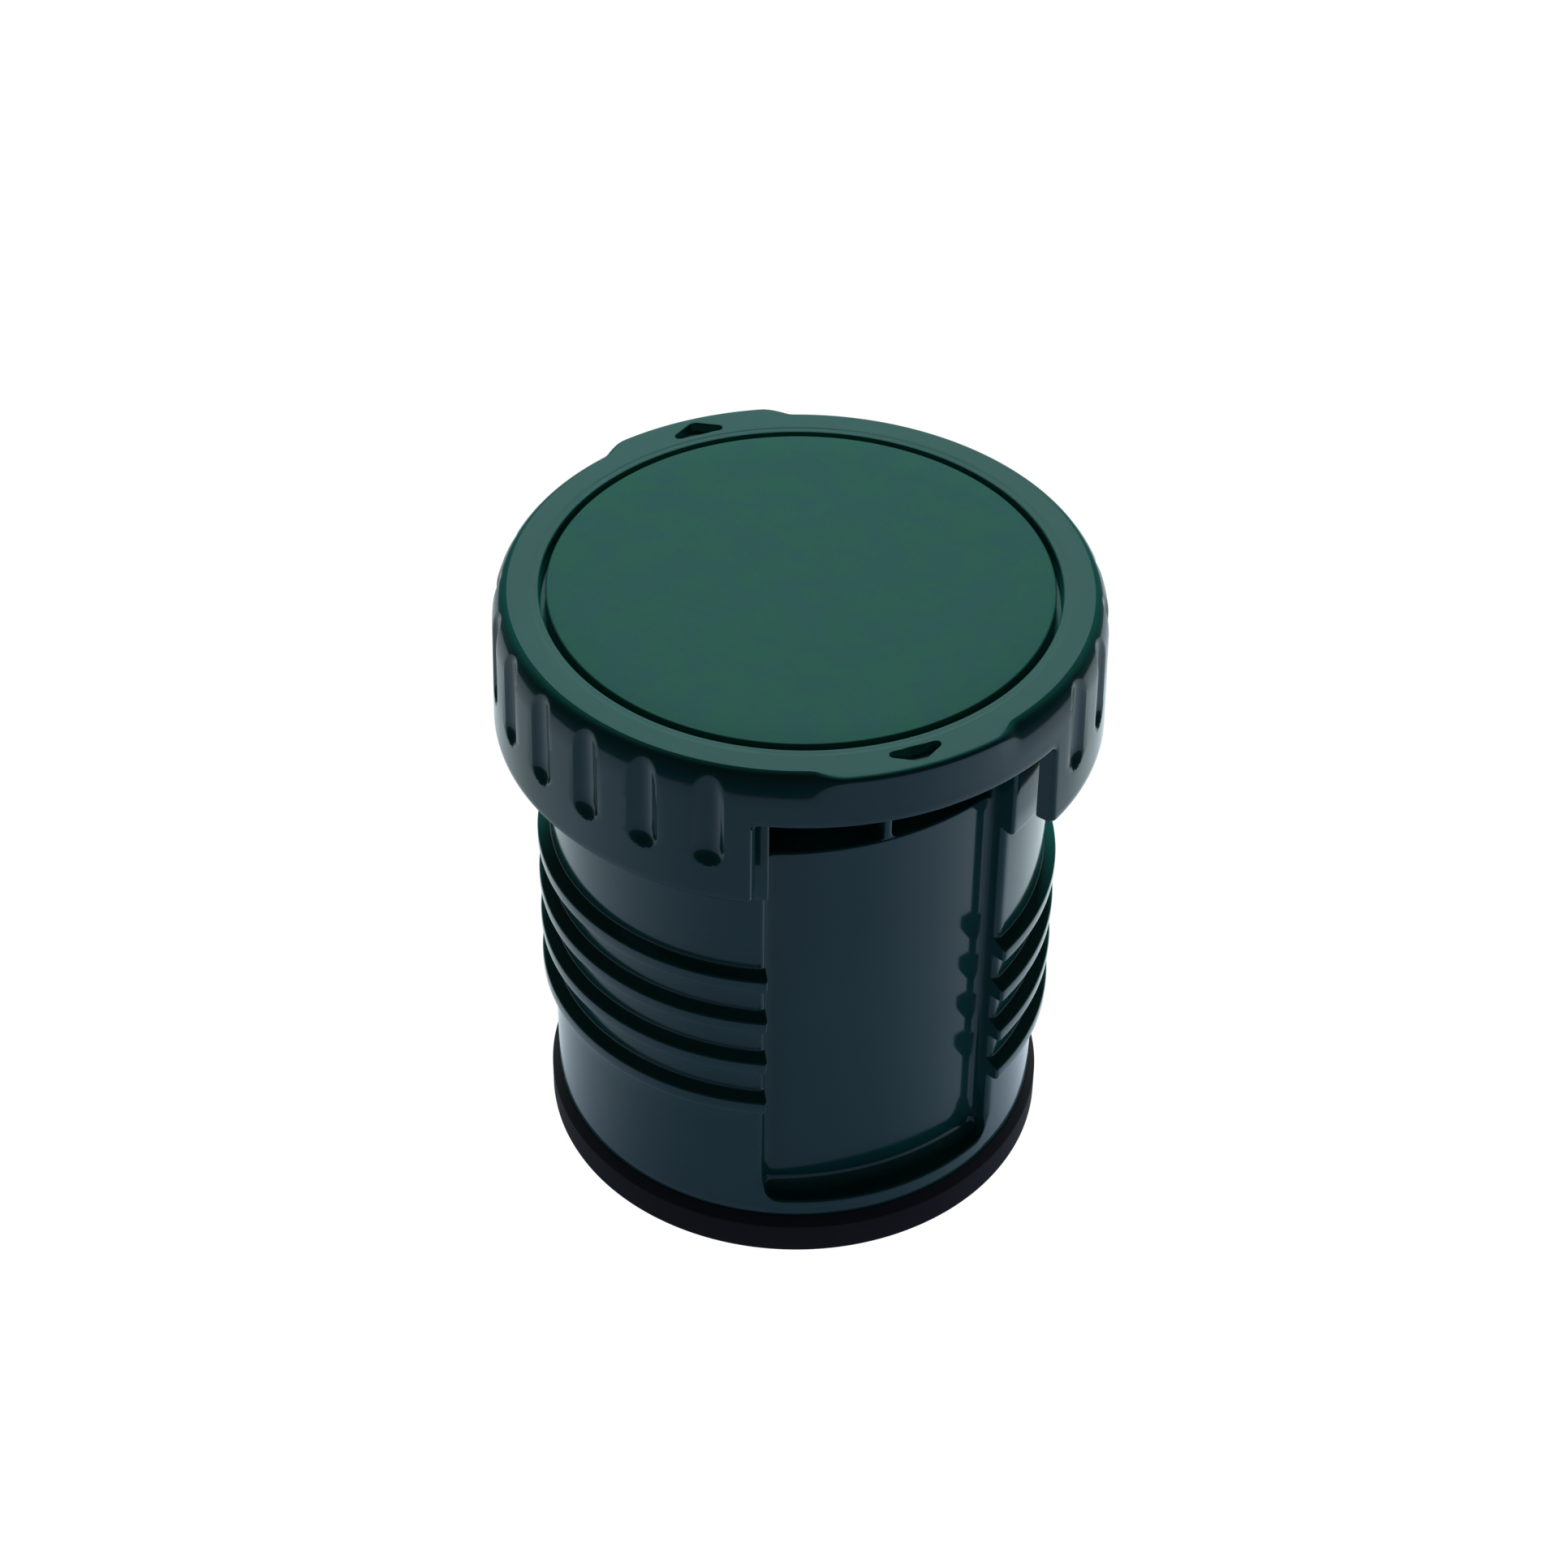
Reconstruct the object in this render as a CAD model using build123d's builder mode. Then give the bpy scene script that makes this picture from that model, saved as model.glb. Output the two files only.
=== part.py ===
"""Twist-and-pour stopper for a wide-neck vacuum flask.

The stopper screws into the neck of the flask. A grip cap is welded on top of a hollow threaded body, and a
soft seal is stretched over a plate that closes the body's lower end. Two upright channels in the body carry
the drink past the thread and out under two notches in the cap's skirt, when the stopper is half a turn loose.

Millimetres. +Z is up, the origin is the middle of the seal's lower face, and the channels face -Y and +Y.
"""

from build123d import *
from math import cos, radians, sin, tan
import os

os.makedirs("parts", exist_ok=True)

# Seal and base plate
seal_height = 5.1
seal_proud = 0.8             # how far the seal stands out past the body
seal_shoulder = 1.1          # height of the sloping shoulder on top of the seal
seal_roll = 0.9              # rounding of the seal's lower outer edge
seal_lip_width = 5.4         # how far the seal reaches in under the base plate
base_flange_wall = 2.2
base_flange_lip = 1.8        # how far the flange reaches out past the plate's neck
base_flange_height = 1.2     # underside of the plate, above the surface the seal stands on
base_neck_cover = 1.6        # how far the plate's neck reaches out past the filling hole
base_plug_height = 3.0       # how far the plug reaches up past the body's lower face
plug_clearance = 0.1
seal_clearance = 0.02

# Body
body_radius = 26.3
body_height = 60.5
body_wall = 2.0
floor_wall = 2.1             # floor of the channels, and the rim round the filling hole
filling_hole_margin = 0.25   # between the filling hole and the inside of the channels' back walls
body_edge = 0.6              # rounding of the upright edges of the two banks

# Pour channels
channel_half_angle = 29.4    # to the corner of the bank, on the body's outside
channel_flare = 12.5         # slope of the side walls, away from the channel's middle plane
channel_depth = 3.05         # at the middle of the channel
channel_back_radius = 30.4   # the back wall is flatter than the body
channel_cove = 1.6           # rounding between the back wall and the floor
pour_gap_height = 11.2       # from the ledge on top of the back wall up to the cap
pour_gap_depth = 9.3         # at the middle of the channel
rib_wall = 1.0               # upright rib in the middle of each pour gap
rib_setback = 0.1

# Thread, single start, right-hand, cut through by both channels
thread_pitch = 5.75
thread_turns = 4
thread_depth = 1.35
thread_crest = 1.5
thread_root = 2.5
thread_start_height = 16.95  # middle of the ridge, where it starts in the middle of the front channel
thread_sink = 0.6            # how far the ridge is rooted in the wall

# Collar, under the cap's skirt
collar_proud = 1.35
collar_height = 14.4

# Grip cap
cap_wall = 2.2               # the deck under the disc
skirt_wall = 2.15
skirt_clearance = 1.8        # between the collar and the inside of the skirt
skirt_height = 15.8
skirt_draft = 0.3            # how much narrower the skirt is at the shoulder
shoulder_run = 1.6
shoulder_height = 4.0
shoulder_lean = 0.5          # rise for each step inwards, where the shoulder meets the flat rim
skirt_edge = 0.5
notch_half_angle = 31.0
notch_height = 9.8
notch_corner = 0.8

# Flutes of the grip
flutes_per_side = 9
flute_spacing = 12.75        # degrees
flute_width = 2.8
flute_depth = 0.7
flute_floor = 3.9            # from the skirt's lower edge to the flute's lower end

# Lobes over the channels, with an arrow sunk in each
lobe_half_angle = 14.5
lobe_blend_angle = 10.0
lobe_edge = 0.4
arrow_width = 6.9
arrow_length = 2.1
arrow_margin = 1.1           # from the arrow's point to the outside of the lobe
arrow_sink = 0.9
arrow_corner = 0.35
arrow_point = 0.8            # rounding of the arrow's point

# Disc
rim_land = 3.25              # flat rim round the disc's pocket, in the fluted stretches
disc_clearance = 0.65
disc_thickness = 2.2
disc_edge = 0.25

# Foam filling
foam_clearance = 0.15

# Levels
body_bottom = seal_height
body_top = body_bottom + body_height
floor_top = body_bottom + floor_wall
ledge = body_top - pour_gap_height
collar_bottom = body_top - collar_height
deck_top = body_top + cap_wall
rim_top = deck_top + disc_thickness
skirt_bottom = rim_top - skirt_height
notch_top = skirt_bottom + notch_height
shoulder_bottom = rim_top - shoulder_height
flange_top = base_flange_height + base_flange_wall

# Radii
seal_radius = body_radius + seal_proud
filling_hole_radius = body_radius - channel_depth - body_wall - filling_hole_margin
base_neck_radius = filling_hole_radius + base_neck_cover
base_flange_radius = base_neck_radius + base_flange_lip
collar_radius = body_radius + collar_proud
skirt_inner = collar_radius + skirt_clearance
skirt_radius = skirt_inner + skirt_wall
shoulder_radius = skirt_radius - skirt_draft
rim_radius = shoulder_radius - shoulder_run
pocket_radius = rim_radius - rim_land
disc_radius = pocket_radius - disc_clearance
lobe_radius = shoulder_radius
lobe_foot_radius = rim_radius - 1.0
cavity_radius = body_radius - body_wall
foam_radius = cavity_radius - foam_clearance
plug_radius = filling_hole_radius - plug_clearance
beyond = skirt_radius + 10.0

# Plan of a channel: its corner on the body's outside, and the centre of its back wall's arc
corner_x = body_radius * sin(radians(channel_half_angle))
corner_y = body_radius * cos(radians(channel_half_angle))
back_centre = channel_back_radius - (body_radius - channel_depth)
gap_back_radius = body_radius - pour_gap_depth


def channel_plan(back_radius, back_offset, side_offset):
    """The plan of both channels, or of the channels and the wall round them, as one sketch.

    Each is a wedge with flared sides, less a round back. A positive side_offset moves the sides into the banks.
    """
    slope = tan(radians(channel_flare))
    shift = side_offset / cos(radians(channel_flare))
    inner_y = gap_back_radius / 2
    inner_x = corner_x - (corner_y - inner_y) * slope + shift
    outer_x = corner_x + (beyond - corner_y) * slope + shift
    with BuildSketch() as plan:
        for turn in (0, 180):
            with BuildSketch(mode=Mode.PRIVATE) as wedge:
                with BuildLine():
                    Polyline(
                        (-inner_x, -inner_y),
                        (inner_x, -inner_y),
                        (outer_x, -beyond),
                        (-outer_x, -beyond),
                        close=True,
                    )
                make_face()
                with Locations((0, back_offset)):
                    Circle(back_radius, mode=Mode.SUBTRACT)
            add(wedge.sketch, rotation=turn)
    return plan.sketch


def on_circle(edge, radius):
    """Whether the middle of an edge is on a circle of this radius about the Z axis."""
    middle = edge @ 0.5
    return abs(Vector(middle.X, middle.Y).length - radius) < 0.01


channels = channel_plan(channel_back_radius, back_centre, 0)
pour_gaps = channel_plan(gap_back_radius, 0, 0)


def hollow_plan(radius, back_radius, back_offset, wall):
    """The plan of the body's hollow: a circle, less the channels and the wall round them."""
    with BuildSketch() as plan:
        Circle(radius)
        add(channel_plan(back_radius - wall, back_offset, wall), mode=Mode.SUBTRACT)
    return plan.sketch


# Base plate: a disc with a flange that holds the seal, a neck, and a plug welded into the filling hole
with BuildPart() as base_plate:
    with BuildSketch(Plane.XY.offset(base_flange_height)):
        Circle(base_flange_radius)
    extrude(amount=base_flange_wall)
    with BuildSketch(Plane.XY.offset(flange_top)):
        Circle(base_neck_radius)
    extrude(amount=body_bottom - flange_top)
    with BuildSketch(Plane.XY.offset(body_bottom)):
        Circle(plug_radius)
    extrude(amount=base_plug_height)
    with BuildSketch(Plane.XY.offset(flange_top)):
        Circle(plug_radius - body_wall)
    extrude(amount=body_bottom + base_plug_height - flange_top, mode=Mode.SUBTRACT)
base_plate.part.label = "base_plate"
export_step(base_plate.part, "parts/base_plate.step")

# Seal: a soft ring with a groove inside that grips the base plate's flange
with BuildPart() as base_seal:
    with BuildSketch(Plane.XZ):
        with BuildLine():
            Polyline(
                (seal_radius - seal_lip_width, 0),
                (seal_radius, 0),
                (seal_radius, seal_height - seal_shoulder),
                (body_radius, seal_height),
                (base_neck_radius + seal_clearance, seal_height),
                (base_neck_radius + seal_clearance, flange_top + seal_clearance),
                (base_flange_radius + seal_clearance, flange_top + seal_clearance),
                (base_flange_radius + seal_clearance, base_flange_height - seal_clearance),
                (seal_radius - seal_lip_width, base_flange_height - seal_clearance),
                close=True,
            )
        make_face()
    revolve(axis=Axis.Z)
    lower_edges = base_seal.edges().filter_by(GeomType.CIRCLE).group_by(Axis.Z)[0]
    fillet(lower_edges.sort_by(SortBy.RADIUS)[-1], seal_roll)
base_seal.part.label = "base_seal"
export_step(base_seal.part, "parts/base_seal.step")

# Thread ridge, four turns up from the middle of the front channel
with BuildPart() as ridge:
    with BuildLine() as spiral:
        Helix(pitch=thread_pitch, height=thread_pitch * thread_turns, radius=body_radius)
    with BuildSketch(Plane(origin=spiral.line @ 0, x_dir=(1, 0, 0), z_dir=spiral.line % 0)):
        with BuildLine():
            Polyline(
                (-thread_sink, -thread_root / 2),
                (0, -thread_root / 2),
                (thread_depth, -thread_crest / 2),
                (thread_depth, thread_crest / 2),
                (0, thread_root / 2),
                (-thread_sink, thread_root / 2),
                close=True,
            )
        make_face()
    sweep(path=spiral.line, is_frenet=True)

# The ridge cut through by the channels, so that each bank carries four stretches of it
with BuildPart() as thread:
    with Locations((0, 0, thread_start_height)):
        add(ridge.part, rotation=(0, 0, -90))
    with BuildSketch():
        add(channels)
    extrude(amount=body_top, mode=Mode.SUBTRACT)

# The space of both channels, with a cove where the back and the sides meet the floor
with BuildPart() as channel_space:
    with BuildSketch(Plane.XY.offset(floor_top)):
        add(channels)
    extrude(amount=body_height - floor_wall)
    floor_edges = channel_space.edges().filter_by_position(Axis.Z, floor_top, floor_top)
    fillet(floor_edges.filter_by(lambda edge: abs((edge @ 0.5).Y) < beyond - 1), channel_cove)

# Body: a closed tube with two channels, a collar and the thread outside, and one hollow inside
with BuildPart() as stopper_body:
    with BuildSketch(Plane.XY.offset(body_bottom)):
        Circle(body_radius)
    extrude(amount=body_height)
    add(channel_space.part, mode=Mode.SUBTRACT)
    upright_edges = stopper_body.edges().filter_by(Axis.Z)
    fillet(upright_edges.filter_by(lambda edge: on_circle(edge, body_radius)), body_edge)
    with BuildSketch(Plane.XY.offset(collar_bottom)):
        Circle(collar_radius)
        add(channels, mode=Mode.SUBTRACT)
    extrude(amount=collar_height)
    with BuildSketch(Plane.XY.offset(ledge)):
        add(pour_gaps)
    extrude(amount=pour_gap_height, mode=Mode.SUBTRACT)
    with BuildSketch(Plane.XY.offset(floor_top)):
        add(hollow_plan(cavity_radius, channel_back_radius, back_centre, body_wall))
    extrude(amount=ledge - body_wall - floor_top, mode=Mode.SUBTRACT)
    with BuildSketch(Plane.XY.offset(ledge - body_wall)):
        add(hollow_plan(cavity_radius, gap_back_radius, 0, body_wall))
    extrude(amount=body_top - ledge + body_wall, mode=Mode.SUBTRACT)
    with BuildSketch(Plane.XY.offset(body_bottom)):
        Circle(filling_hole_radius)
    extrude(amount=floor_wall, mode=Mode.SUBTRACT)
    rib_front = body_radius - channel_depth - rib_setback
    rib_length = rib_front - gap_back_radius + body_wall / 2
    with Locations((0, rib_length / 2 - rib_front, ledge), (0, rib_front - rib_length / 2, ledge)):
        Box(rib_wall, rib_length, pour_gap_height, align=(Align.CENTER, Align.CENTER, Align.MIN))
    add(thread.part)
stopper_body.part.label = "stopper_body"
export_step(stopper_body.part, "parts/stopper_body.step")

# Foam: poured into the body's hollow, up to the cap
with BuildPart() as insulation_foam:
    with BuildSketch(Plane.XY.offset(body_bottom + base_plug_height + foam_clearance)):
        add(hollow_plan(foam_radius, channel_back_radius, back_centre, body_wall + foam_clearance))
    extrude(amount=ledge - body_wall - body_bottom - base_plug_height - 2 * foam_clearance)
    with BuildSketch(Plane.XY.offset(ledge - body_wall - foam_clearance)):
        add(hollow_plan(foam_radius, gap_back_radius, 0, body_wall + foam_clearance))
    extrude(amount=body_top - ledge + body_wall)
insulation_foam.part.label = "insulation_foam"
export_step(insulation_foam.part, "parts/insulation_foam.step")

# Lobes: the two stretches of the rim over the channels, brought out to the full width of the skirt
with BuildPart() as lobes:
    for side in (0, 180):
        start = radians(-90 + lobe_half_angle)
        end = start + radians(lobe_blend_angle)
        tip = (lobe_radius * cos(start), lobe_radius * sin(start))
        foot = (lobe_foot_radius * cos(end), lobe_foot_radius * sin(end))
        with BuildSketch(Plane.XY.offset(notch_top).rotated((0, 0, side))):
            with BuildLine():
                ThreePointArc((-tip[0], tip[1]), (0, -lobe_radius), tip)
                blend = Spline(tip, foot, tangents=[(-sin(start), cos(start)), (-sin(end), cos(end))])
                Line(foot, (-foot[0], foot[1]))
                mirror(blend, about=Plane.YZ)
            make_face()
            Circle(skirt_inner, mode=Mode.SUBTRACT)
        extrude(amount=rim_top - notch_top)
    top_edges = lobes.edges().filter_by_position(Axis.Z, rim_top, rim_top)
    fillet(top_edges.filter_by(lambda edge: not on_circle(edge, skirt_inner)), lobe_edge)

# Flutes: upright scoops with a round lower end, in two groups on the sides away from the channels
flute_scoop = (flute_width**2 / 4 + flute_depth**2) / (2 * flute_depth)
flute_end = skirt_bottom + flute_floor + flute_scoop
with BuildPart() as flutes:
    for side in (0, 180):
        for step in range(flutes_per_side):
            angle = side + (step - (flutes_per_side - 1) / 2) * flute_spacing
            with Locations(Location((0, 0, flute_end), (0, 0, angle))):
                with Locations((shoulder_radius - flute_depth + flute_scoop, 0, 0)):
                    Cylinder(flute_scoop, rim_top - flute_end + 1, align=(Align.CENTER, Align.CENTER, Align.MIN))
                    Sphere(flute_scoop)

# Notches: the two windows in the skirt through which the drink leaves
with BuildPart() as notches:
    for side in (0, 180):
        with BuildSketch(Plane.XY.offset(skirt_bottom).rotated((0, 0, side))):
            with BuildLine():
                left = (-beyond * sin(radians(notch_half_angle)), -beyond * cos(radians(notch_half_angle)))
                Polyline((0, 0), left, (-left[0], left[1]), close=True)
            make_face()
            Circle(collar_radius, mode=Mode.SUBTRACT)
        extrude(amount=notch_height)
    corner_edges = notches.edges().filter_by_position(Axis.Z, notch_top, notch_top).filter_by(GeomType.LINE)
    fillet(corner_edges.filter_by(lambda edge: abs((edge @ 0.5).X) > 1), notch_corner)

# Grip cap: a deck and a skirt, with the lobes, the flutes, the notches and the disc's pocket
with BuildPart() as grip_cap:
    with BuildSketch(Plane.XZ):
        with BuildLine():
            outside = Line((skirt_radius, skirt_bottom), (shoulder_radius, shoulder_bottom))
            Spline(
                (shoulder_radius, shoulder_bottom),
                (rim_radius, rim_top),
                tangents=[outside % 1, (-1, shoulder_lean)],
            )
            Polyline(
                (rim_radius, rim_top),
                (pocket_radius, rim_top),
                (pocket_radius, deck_top),
                (0, deck_top),
                (0, body_top),
                (skirt_inner, body_top),
                (skirt_inner, skirt_bottom),
                (skirt_radius, skirt_bottom),
            )
        make_face()
    revolve(axis=Axis.Z)
    add(lobes.part)
    add(flutes.part, mode=Mode.SUBTRACT)
    skirt_edges = grip_cap.edges().filter_by_position(Axis.Z, skirt_bottom, skirt_bottom)
    fillet(skirt_edges.filter_by(lambda edge: on_circle(edge, skirt_radius)), skirt_edge)
    add(notches.part, mode=Mode.SUBTRACT)
    for side in (0, 180):
        with BuildSketch(Plane.XY.offset(rim_top).rotated((0, 0, side))) as arrow:
            point_y = arrow_margin - lobe_radius
            with BuildLine():
                Polyline(
                    (0, point_y),
                    (arrow_width / 2, point_y + arrow_length),
                    (-arrow_width / 2, point_y + arrow_length),
                    close=True,
                )
            make_face()
            fillet(arrow.vertices().filter_by(lambda corner: abs(corner.X) > 1), arrow_corner)
            fillet(arrow.vertices().sort_by(lambda corner: abs(corner.X))[0], arrow_point)
        extrude(amount=-arrow_sink, mode=Mode.SUBTRACT)
grip_cap.part.label = "grip_cap"
export_step(grip_cap.part, "parts/grip_cap.step")

# Disc: a satin plate let into the top of the cap
with BuildPart() as top_disc:
    with BuildSketch(Plane.XY.offset(deck_top)):
        Circle(disc_radius)
    extrude(amount=disc_thickness)
    chamfer(top_disc.edges().group_by(Axis.Z)[-1], disc_edge)
top_disc.part.label = "top_disc"
export_step(top_disc.part, "parts/top_disc.step")
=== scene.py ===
"""Looks of a twist-and-pour flask stopper: surfaces, finishes, stage, lights and camera.

Every length is in metres. Angles go round the stopper's axis from -Y, anticlockwise seen from above, so the
front channel is at 0 and the back channel at half a turn.
"""

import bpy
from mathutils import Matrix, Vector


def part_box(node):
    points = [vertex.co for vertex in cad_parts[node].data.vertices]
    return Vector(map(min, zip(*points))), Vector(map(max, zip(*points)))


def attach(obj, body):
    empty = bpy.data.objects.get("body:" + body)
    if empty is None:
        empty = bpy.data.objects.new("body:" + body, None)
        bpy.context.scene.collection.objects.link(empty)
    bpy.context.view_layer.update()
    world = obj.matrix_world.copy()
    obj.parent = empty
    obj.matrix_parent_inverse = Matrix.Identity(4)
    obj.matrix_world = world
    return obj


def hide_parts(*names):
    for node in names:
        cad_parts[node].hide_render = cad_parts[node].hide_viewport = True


bl_info = {
    "name": "Flask Stopper",
    "version": (1, 0, 0),
    "blender": (4, 5, 0),
    "location": "View3D > Sidebar > Flask Stopper",
    "description": "Builds the surfaces, finishes and stage of a screw-in flask stopper",
    "category": "Object",
}

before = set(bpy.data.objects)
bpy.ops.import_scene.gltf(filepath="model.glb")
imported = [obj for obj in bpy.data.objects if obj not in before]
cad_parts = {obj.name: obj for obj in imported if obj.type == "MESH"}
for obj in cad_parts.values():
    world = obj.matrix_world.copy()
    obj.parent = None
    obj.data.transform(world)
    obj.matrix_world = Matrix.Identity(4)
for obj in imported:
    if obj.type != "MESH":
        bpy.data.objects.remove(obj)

import math

import bpy
import bmesh
import numpy as np
from mathutils import Matrix, Vector

MM = 0.001
WELD = 2e-7                      # points nearer than this are one point
CROWD = np.pi / 2 * 0.92         # draws the columns across a channel towards its sides
ROUND_STEPS = 241                # columns round the disc and the seal
CROWN_ROWS = 17                  # rows up the cap's shoulder
LAND_STEP = 0.05 * MM            # height of the fine step in the cap's rim
ARROW_EASE = 0.3 * MM            # width of the slope at an arrow's outline
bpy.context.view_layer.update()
BODY_LOW, BODY_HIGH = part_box("stopper_body")
CAP_LOW, CAP_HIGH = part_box("grip_cap")
DISC_LOW, DISC_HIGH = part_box("top_disc")
SEAL_LOW, SEAL_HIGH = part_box("base_seal")


# Properties

def length(name, description, millimetres):
    """A length property with its default in millimetres."""
    return bpy.props.FloatProperty(
        name=name, description=description, default=millimetres * MM, min=0.0, unit="LENGTH", subtype="DISTANCE"
    )


def angle(name, description, degrees):
    """An angle property with its default in degrees."""
    return bpy.props.FloatProperty(
        name=name, description=description, default=math.radians(degrees), unit="ROTATION", subtype="ANGLE"
    )


def colour(name, description, value):
    """A linear colour property."""
    return bpy.props.FloatVectorProperty(
        name=name, description=description, default=value, size=3, min=0.0, max=1.0, subtype="COLOR"
    )


def amount(name, description, value):
    """A plain number property, such as a roughness or a strength."""
    return bpy.props.FloatProperty(name=name, description=description, default=value, min=0.0)


class BodySizes(bpy.types.PropertyGroup):
    """Sizes of the threaded body."""

    radius: length("Radius", "Outside of the two banks", 26.3)
    wall: length("Wall", "Thickness of the body's walls", 2.0)
    hole_radius: length("Filling hole", "Radius of the hole in the underside", 21.0)
    floor_wall: length("Floor", "Thickness of the channels' floor", 2.1)
    corner_angle: angle("Channel corner", "Half angle of a channel at the body's outside", 29.4)
    flare: angle("Channel flare", "Slope of the channels' side walls", 12.5)
    back_radius: length("Back wall radius", "Radius of the channels' back walls", 30.4)
    channel_depth: length("Channel depth", "Depth in the middle of a channel", 3.05)
    cove: length("Cove", "Rounding between a channel's floor and its walls", 1.6)
    corner_cove: length("Corner cove", "Rounding of a channel's upright inner corners", 1.3)
    bank_edge: length("Bank edge", "Rounding of the banks' upright edges", 0.6)
    end_edge: length("Thread end edge", "Rounding at the ends of the thread and the collar", 0.3)
    gap_height: length("Gap height", "Height of the pour gap under the cap", 11.2)
    gap_radius: length("Gap back radius", "Radius of the pour gap's back wall", 17.0)
    rib_wall: length("Rib", "Thickness of the rib in the pour gap", 1.0)
    collar_height: length("Collar height", "Height of the collar under the cap", 14.4)
    thread_pitch: length("Thread pitch", "Rise of the thread in one turn", 5.75)
    thread_start: length("Thread start", "Height of the thread's middle at the front channel", 16.95)
    thread_depth: length("Thread depth", "How far the thread stands out", 1.35)
    thread_crest: length("Thread crest", "Width of the thread's flat crest", 1.5)
    thread_root: length("Thread root", "Width of the thread at its root", 2.5)


class CapSizes(bpy.types.PropertyGroup):
    """Sizes of the grip cap."""

    skirt_inner: length("Skirt inside", "Inner radius of the skirt", 29.45)
    skirt_radius: length("Skirt foot", "Outer radius at the skirt's foot", 31.59)
    shoulder_radius: length("Shoulder", "Outer radius where the shoulder starts, and of the lobes", 31.3)
    rim_radius: length("Rim", "Outer radius of the flat rim", 29.7)
    pocket_radius: length("Pocket", "Radius of the disc's pocket", 26.45)
    land_radius: length("Inner land", "Radius of the fine step in the rim", 27.4)
    shoulder_height: length("Shoulder height", "Height of the shoulder's curve", 4.0)
    notch_angle: angle("Notch", "Half angle of a notch", 31.0)
    notch_height: length("Notch height", "Height of a notch above the skirt's foot", 9.8)
    notch_corner: length("Notch corner", "Rounding of a notch's upper corners", 0.8)
    edge: length("Edge", "Rounding of the skirt's edges", 0.5)
    flute_count: bpy.props.IntProperty(name="Flutes", description="Flutes on each side", default=9, min=1)
    flute_step: angle("Flute step", "Angle between flutes", 12.75)
    flute_width: length("Flute width", "Width of a flute across its edges", 3.1)
    flute_depth: length("Flute depth", "Depth of a flute", 0.7)
    flute_foot: length("Flute foot", "From the skirt's foot to the lower end of a flute", 3.9)
    lobe_angle: angle("Lobe", "Half angle of a lobe's full width", 14.5)
    lobe_blend: angle("Lobe blend", "Angle over which a lobe runs out", 10.0)
    arrow_width: length("Arrow width", "Width of the sunk arrow", 6.9)
    arrow_length: length("Arrow length", "Length of the sunk arrow", 2.1)
    arrow_margin: length("Arrow margin", "From the arrow's point to the lobe's outside", 1.1)
    arrow_sink: length("Arrow sink", "Depth of the arrow", 0.9)
    arrow_corner: length("Arrow corners", "Rounding of the arrow's base corners", 0.35)
    arrow_point: length("Arrow point", "Rounding of the arrow's point", 0.8)


class DiscSizes(bpy.types.PropertyGroup):
    """Sizes of the disc let into the cap."""

    radius: length("Radius", "Outside of the disc", 25.8)
    edge: length("Edge", "Rounding of the disc's upper edge", 0.25)


class SealSizes(bpy.types.PropertyGroup):
    """Sizes of the soft seal."""

    radius: length("Radius", "Outside of the seal", 27.1)
    neck_radius: length("Neck", "Radius round the base plate's neck", 22.62)
    groove_radius: length("Groove", "Radius of the groove for the plate's flange", 24.42)
    lip_radius: length("Lip", "Inner radius of the lower lip", 21.7)
    groove_low: length("Groove bottom", "Height of the groove's lower face", 1.18)
    groove_high: length("Groove top", "Height of the groove's upper face", 3.42)
    shoulder: length("Shoulder", "Height of the sloping shoulder", 1.1)
    roll: length("Roll", "Rounding of the lower outer edge", 0.9)


class FinishSettings(bpy.types.PropertyGroup):
    """Colours and gloss of the four finishes."""

    green: colour("Green plastic", "Colour of the polished plastic", (0.010, 0.100, 0.086))
    green_roughness: amount("Green roughness", "Roughness of the polished plastic", 0.1)
    satin: colour("Satin disc", "Colour of the satin disc", (0.009, 0.100, 0.078))
    satin_roughness: amount("Satin roughness", "Roughness of the satin disc", 0.5)
    silicone: colour("Silicone", "Colour of the seal", (0.004, 0.004, 0.006))
    silicone_roughness: amount("Silicone roughness", "Roughness of the seal", 0.38)
    foam: colour("Foam", "Colour of the foam filling", (0.80, 0.72, 0.50))


class StageSettings(bpy.types.PropertyGroup):
    """Camera and lights."""

    floor_size: length("Floor", "Side of the square floor", 4000.0)
    target_x: bpy.props.FloatProperty(name="Aim X", description="Aim point", default=-1.292 * MM, unit="LENGTH")
    target_y: bpy.props.FloatProperty(name="Aim Y", description="Aim point", default=0.725 * MM, unit="LENGTH")
    target_height: length("Aim height", "Height that the camera aims at", 43.1)
    elevation: angle("Elevation", "How far the camera looks down", 40.247)
    turn: angle("Turn", "Turn of the camera about the upright axis through its aim point", -22.8)
    distance: length("Distance", "From the aim point to the camera", 382.54)
    roll: angle("Roll", "Turn of the camera about its line of sight", 0.7278)
    lens: bpy.props.FloatProperty(name="Lens", description="Focal length in millimetres", default=83.05)
    key_strength: amount("Key light", "Watts of the large light above and behind", 7.3)
    key_angle: angle("Key angle", "Elevation of the large light, on the side away from the camera", 40.0)
    key_distance: length("Key distance", "From the stopper to the large light", 800.0)
    key_size: length("Key size", "Long side of the large light", 240.0)
    room_glow: amount("Room glow", "Brightness of the dim room", 0.02)
    card_glow: amount("Card glow", "Brightness of the pale card behind the stopper", 0.66)
    card_angle: angle("Card angle", "Elevation of the card's middle", 38.0)
    front_table: amount("Front table", "Brightness of the table on the camera's side", 0.45)
    back_table: amount("Back table", "Brightness of the table behind the stopper", 1.15)
    table_reach: length("Table reach", "How far the lit part of the table runs to the front", 230.0)


# Meshes

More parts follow.
